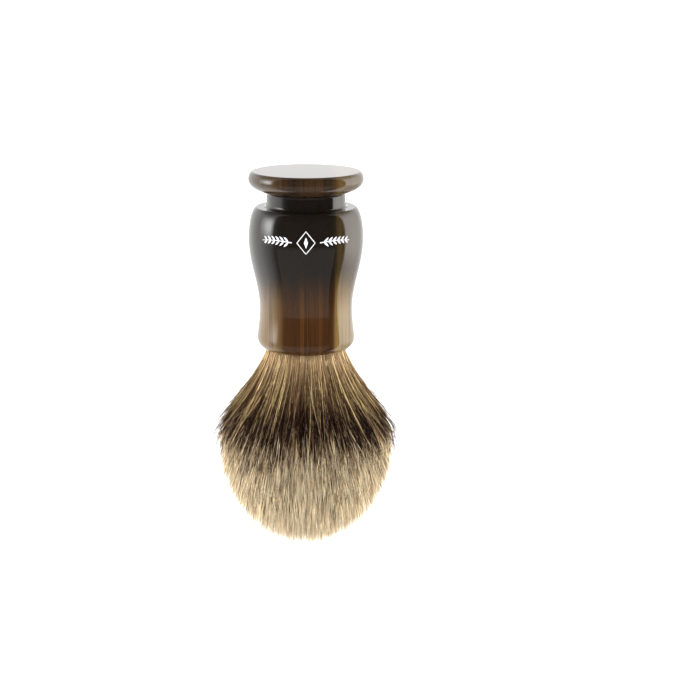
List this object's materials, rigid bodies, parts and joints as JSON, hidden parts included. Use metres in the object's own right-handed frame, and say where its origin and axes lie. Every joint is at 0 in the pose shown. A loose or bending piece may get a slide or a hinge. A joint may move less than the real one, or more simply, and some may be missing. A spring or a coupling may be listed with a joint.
{
  "type": "shaving brush",
  "caption": "Wet-shaving brush with a turned waisted handle, a disc foot with a hanging groove under it, and a flared domed knot of banded hair.",
  "frame": {"origin": "centre of the hanging groove's neck, on the brush's axis", "axes": "+Z along the brush's axis from the hair towards the foot, which is up when the brush hangs; the brush is round, so X and Y are free, and the hair bends in the XZ plane"},
  "size_m": [0.0508, 0.0508, 0.1071],
  "materials": {
    "horn_resin": "polished cast resin imitating dark horn, black-brown shading to amber, with fine streaks along the handle",
    "adhesive": "cured clear amber epoxy",
    "plug_resin": "cured epoxy full of hair roots",
    "cord": "waxed twisted thread",
    "hair": "fine straight hair: tan roots, a near-black band and cream tips"
  },
  "bodies": {
    "brush_handle": {"handle": "horn_resin", "socket_adhesive": "adhesive", "knot_plug": "plug_resin", "binding_cord": "cord", "hair_root": "hair"},
    "free_hair": {"hair_loft": "hair"}
  },
  "joints": [
    {"name": "knot_flex", "type": "hinge", "parent": "brush_handle", "child": "free_hair", "pos_m": [0, 0, -0.0427], "axis": [0, 1, 0], "range_deg": [-25, 25], "stiffness_Nm_per_rad": 0.12}
  ]
}
